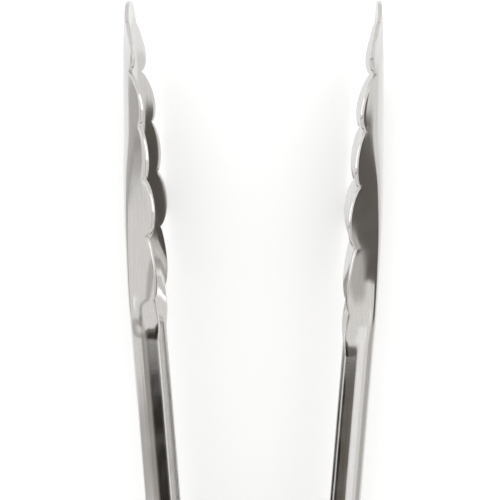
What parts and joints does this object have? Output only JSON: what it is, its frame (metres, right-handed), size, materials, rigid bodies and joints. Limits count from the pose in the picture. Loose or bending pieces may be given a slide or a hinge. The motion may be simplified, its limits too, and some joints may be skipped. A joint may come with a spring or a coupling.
{
  "type": "kitchen tongs",
  "caption": "Spring-loaded stainless steel kitchen tongs with scalloped grips, pressed channel handles, a riveted pivot with a torsion spring, and a pull-out lock with a hanging loop.",
  "frame": {"origin": "on the surface the tongs lie on, under the middle of their overall box", "axes": "+Y towards the grip tips, X the way the grips open, +Z along the rivet's axis"},
  "size_m": [0.0752, 0.3362, 0.042],
  "materials": {
    "polished_steel": "polished stainless sheet",
    "rivet_steel": "turned stainless",
    "spring_wire": "drawn stainless wire",
    "nylon": "natural nylon"
  },
  "bodies": {
    "pivot": {"pivot_rivet": "rivet_steel", "rivet_burr": "rivet_steel", "spacer_sleeve": "rivet_steel", "ear_washer_top": "nylon", "ear_washer_bottom": "nylon", "torsion_spring": "spring_wire"},
    "left_arm": {"left_arm": "polished_steel"},
    "right_arm": {"right_arm": "polished_steel"},
    "lock": {"lock_slider": "polished_steel"},
    "loop": {"pull_loop": "spring_wire"}
  },
  "joints": [
    {"name": "left_arm_hinge", "type": "hinge", "parent": "pivot", "child": "left_arm", "pos_m": [0, -0.12187, 0.02099], "axis": [0, 0, -1], "range_deg": [0, 6.5], "stiffness_Nm_per_rad": 6, "springref_deg": -4.01, "deforming": ["torsion_spring"]},
    {"name": "right_arm_hinge", "type": "hinge", "parent": "pivot", "child": "right_arm", "pos_m": [0, -0.12187, 0.02099], "axis": [0, 0, 1], "range_deg": [0, 6.5], "deforming": ["torsion_spring"]},
    {"name": "lock_slide", "type": "slide", "parent": "pivot", "child": "lock", "axis": [0, -1, 0], "range_m": [0, 0.009]},
    {"name": "loop_swing", "type": "hinge", "parent": "lock", "child": "loop", "pos_m": [0, -0.14588, 0.02099], "axis": [0, 0, 1], "range_deg": [-75, 75]}
  ],
  "couplings": [
    {"joint": "right_arm_hinge", "follows": "left_arm_hinge", "ratio": 1}
  ]
}
